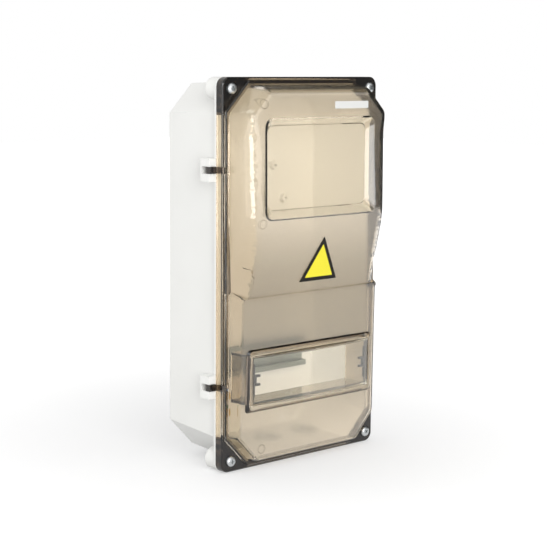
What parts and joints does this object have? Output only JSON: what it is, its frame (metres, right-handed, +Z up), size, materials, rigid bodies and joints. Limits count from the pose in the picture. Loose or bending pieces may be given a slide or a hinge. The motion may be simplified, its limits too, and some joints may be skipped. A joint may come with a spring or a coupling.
{
  "type": "electric meter box",
  "caption": "Wall box for an electricity meter: white tub, smoked see-through cover hinged on the left with a recessed window, and a clear hatch over the breaker rail.",
  "frame": {"origin": "centre of the back face that lies on the wall", "axes": "+X to the right seen from the front, +Y into the wall, +Z up; the front looks towards -Y"},
  "size_m": [0.2475, 0.1267, 0.424],
  "materials": {
    "white_housing": "moulded, satin",
    "smoked_cover": "polished, smoked, see-through",
    "clear_pane": "polished, clear",
    "black_plastic": "moulded",
    "seal_rubber": "extruded cord",
    "grommet_rubber": "moulded",
    "plated_steel": "zinc plated",
    "rail_steel": "zinc plated and passivated",
    "brass": "drawn and turned",
    "blue_carrier": "moulded",
    "green_carrier": "moulded",
    "yellow_film": "printed film",
    "white_film": "plain film"
  },
  "bodies": {
    "base": {"base": "white_housing", "seal_cord": "seal_rubber", "screw_inserts": "brass", "hinge_pins": "plated_steel", "din_rail": "rail_steel", "rail_screws": "plated_steel", "neutral_carrier": "blue_carrier", "neutral_bar": "brass", "neutral_screws": "plated_steel", "earth_carrier": "green_carrier", "earth_bar": "brass", "earth_screws": "plated_steel", "cable_grommets": "grommet_rubber"},
    "cover": {"cover": "smoked_cover", "cover_screws": "plated_steel", "screw_retainers": "black_plastic", "sign_plate": "yellow_film", "label_plate": "white_film"},
    "hatch": {"hatch_window": "clear_pane", "hatch_catches": "black_plastic"}
  },
  "joints": [
    {"name": "cover_hinge", "type": "hinge", "parent": "base", "child": "cover", "pos_m": [-0.124, -0.08, 0], "axis": [0, 0, -1], "range_deg": [0, 120]},
    {"name": "hatch_slide", "type": "slide", "parent": "cover", "child": "hatch", "axis": [0, -1, 0], "range_m": [0, 0.03]}
  ]
}
